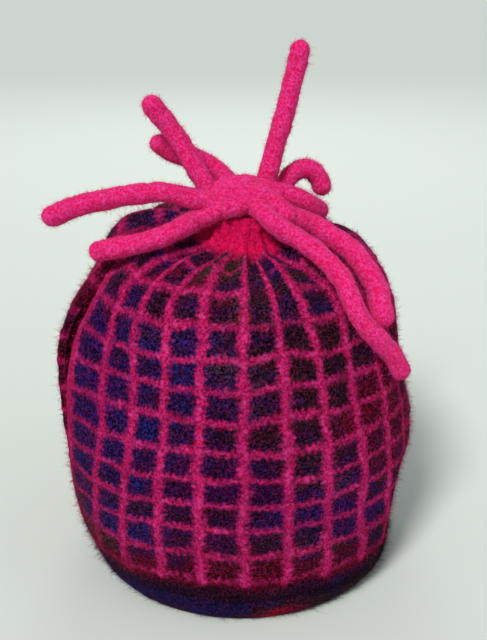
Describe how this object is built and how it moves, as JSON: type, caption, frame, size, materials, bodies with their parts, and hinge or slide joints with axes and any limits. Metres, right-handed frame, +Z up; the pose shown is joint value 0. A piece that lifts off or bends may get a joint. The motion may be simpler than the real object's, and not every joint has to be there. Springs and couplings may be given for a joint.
{
  "type": "tea cosy",
  "caption": "Knitted and felted wool tea cosy: a checked shell open at the hem, with a slit at each side for handle and spout, and a gathered top with a knot of felted cords.",
  "frame": {"origin": "middle of the bounding box at the height of the hem, which rests on the surface", "axes": "+Z up; the front panel faces -Y, the handle slit -X and the spout slit +X"},
  "size_m": [0.1936, 0.181, 0.272],
  "materials": {
    "checked_felt": "felted stranded knitting: dark variegated wool checks in a hot pink grid, with a fuzzy surface",
    "pink_felt": "felted hot pink wool cord with a fuzzy surface"
  },
  "bodies": {
    "root": {"body": "checked_felt", "crown_knot": "pink_felt", "cord_far_left": "pink_felt", "cord_lower_left": "pink_felt", "cord_upper_left": "pink_felt", "cord_behind_left": "pink_felt", "cord_tall": "pink_felt", "cord_curled": "pink_felt", "cord_arched": "pink_felt", "cord_right_upper": "pink_felt", "cord_right_lower": "pink_felt"}
  },
  "joints": []
}
